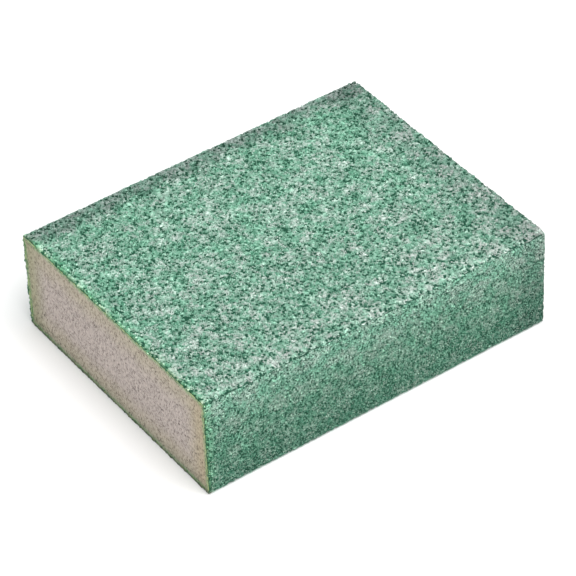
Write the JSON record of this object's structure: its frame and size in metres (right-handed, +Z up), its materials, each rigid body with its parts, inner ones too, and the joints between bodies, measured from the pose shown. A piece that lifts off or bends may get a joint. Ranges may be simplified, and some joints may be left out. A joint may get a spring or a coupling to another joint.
{
  "type": "sanding block",
  "caption": "Hand sanding block: a foam slab coated with green coarse grit on its broad faces and finer grit on its long sides, with bare cut ends.",
  "frame": {"origin": "middle of the bottom face", "axes": "+X along the block's length, +Y across its width towards the back side, +Z up through its thickness"},
  "size_m": [0.09, 0.07, 0.026],
  "materials": {
    "foam": "matt, fine-pored cut foam",
    "bond_resin": "satin cured resin",
    "coarse_grit": "rough, pale mineral grains in green resin",
    "fine_grit": "fine rough mineral grains in green resin"
  },
  "bodies": {
    "root": {"foam_core": "foam", "top_bond_resin": "bond_resin", "top_coarse_grit": "coarse_grit", "bottom_bond_resin": "bond_resin", "bottom_coarse_grit": "coarse_grit", "front_bond_resin": "bond_resin", "front_fine_grit": "fine_grit", "back_bond_resin": "bond_resin", "back_fine_grit": "fine_grit"}
  },
  "joints": []
}
